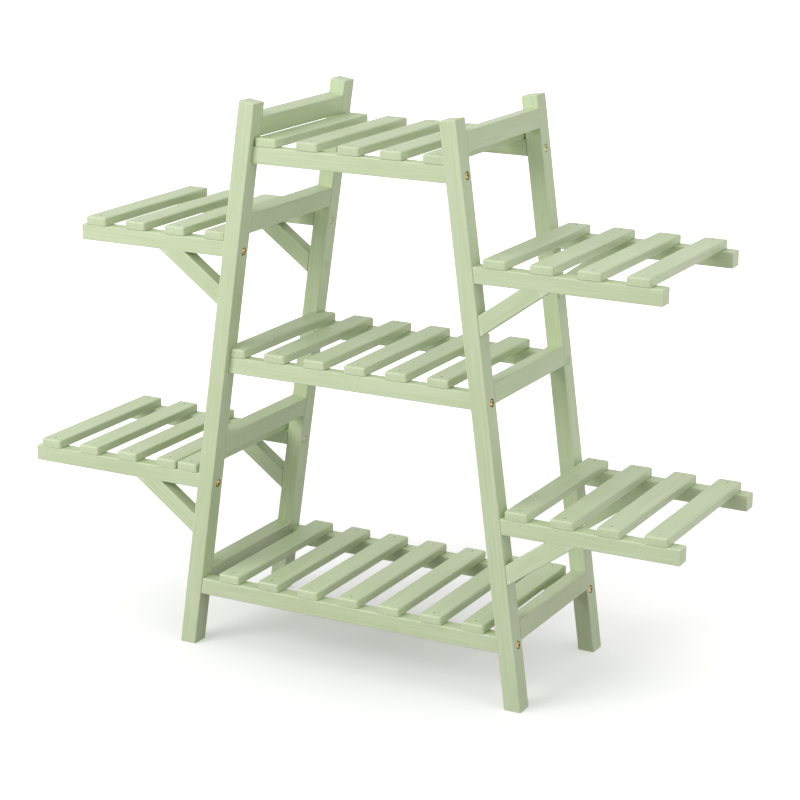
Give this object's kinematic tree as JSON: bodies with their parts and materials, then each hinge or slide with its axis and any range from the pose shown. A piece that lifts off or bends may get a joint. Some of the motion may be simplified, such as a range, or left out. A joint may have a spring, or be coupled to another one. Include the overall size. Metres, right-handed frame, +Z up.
{
  "type": "plant ladder stand",
  "caption": "A-shaped painted wooden plant stand with slatted shelves between two leaning ladder sides and slatted side shelves on braced arms outside them.",
  "frame": {"origin": "on the floor, in the middle of the overall width and depth", "axes": "+X to the right seen from the front, along the shelves' long way; +Y to the back; +Z up"},
  "size_m": [1.017, 0.278, 0.7998],
  "materials": {
    "sage_paint": "thin satin sage-green paint over softwood, with faint grain and brush marks, slightly worn on the arrises",
    "brass": "brushed, slightly tarnished heads of countersunk cross-head screws and bolts"
  },
  "bodies": {
    "root": {"arm_lower_left_back": "sage_paint", "arm_lower_left_front": "sage_paint", "arm_lower_right_back": "sage_paint", "arm_lower_right_front": "sage_paint", "arm_upper_left_back": "sage_paint", "arm_upper_left_front": "sage_paint", "arm_upper_right_back": "sage_paint", "arm_upper_right_front": "sage_paint", "leg_back_left": "sage_paint", "leg_back_right": "sage_paint", "leg_front_left": "sage_paint", "leg_front_right": "sage_paint", "rail_bottom_back": "sage_paint", "rail_bottom_front": "sage_paint", "rail_middle_back": "sage_paint", "rail_middle_front": "sage_paint", "rail_top_back": "sage_paint", "rail_top_front": "sage_paint", "rung_left_bottom": "sage_paint", "rung_left_lower": "sage_paint", "rung_left_top": "sage_paint", "rung_left_upper": "sage_paint", "rung_right_bottom": "sage_paint", "rung_right_middle": "sage_paint", "rung_right_top": "sage_paint", "slat_bottom_1": "sage_paint", "slat_bottom_2": "sage_paint", "slat_bottom_3": "sage_paint", "slat_bottom_4": "sage_paint", "slat_bottom_5": "sage_paint", "slat_bottom_6": "sage_paint", "slat_bottom_7": "sage_paint", "slat_lower_left_1": "sage_paint", "slat_lower_left_2": "sage_paint", "slat_lower_left_3": "sage_paint", "slat_lower_left_4": "sage_paint", "slat_lower_left_5": "sage_paint", "slat_lower_right_1": "sage_paint", "slat_lower_right_2": "sage_paint", "slat_lower_right_3": "sage_paint", "slat_lower_right_4": "sage_paint", "slat_middle_1": "sage_paint", "slat_middle_2": "sage_paint", "slat_middle_3": "sage_paint", "slat_middle_4": "sage_paint", "slat_middle_5": "sage_paint", "slat_middle_6": "sage_paint", "slat_top_1": "sage_paint", "slat_top_2": "sage_paint", "slat_top_3": "sage_paint", "slat_top_4": "sage_paint", "slat_top_5": "sage_paint", "slat_upper_left_1": "sage_paint", "slat_upper_left_2": "sage_paint", "slat_upper_left_3": "sage_paint", "slat_upper_left_4": "sage_paint", "slat_upper_right_1": "sage_paint", "slat_upper_right_2": "sage_paint", "slat_upper_right_3": "sage_paint", "slat_upper_right_4": "sage_paint"}
  },
  "joints": []
}
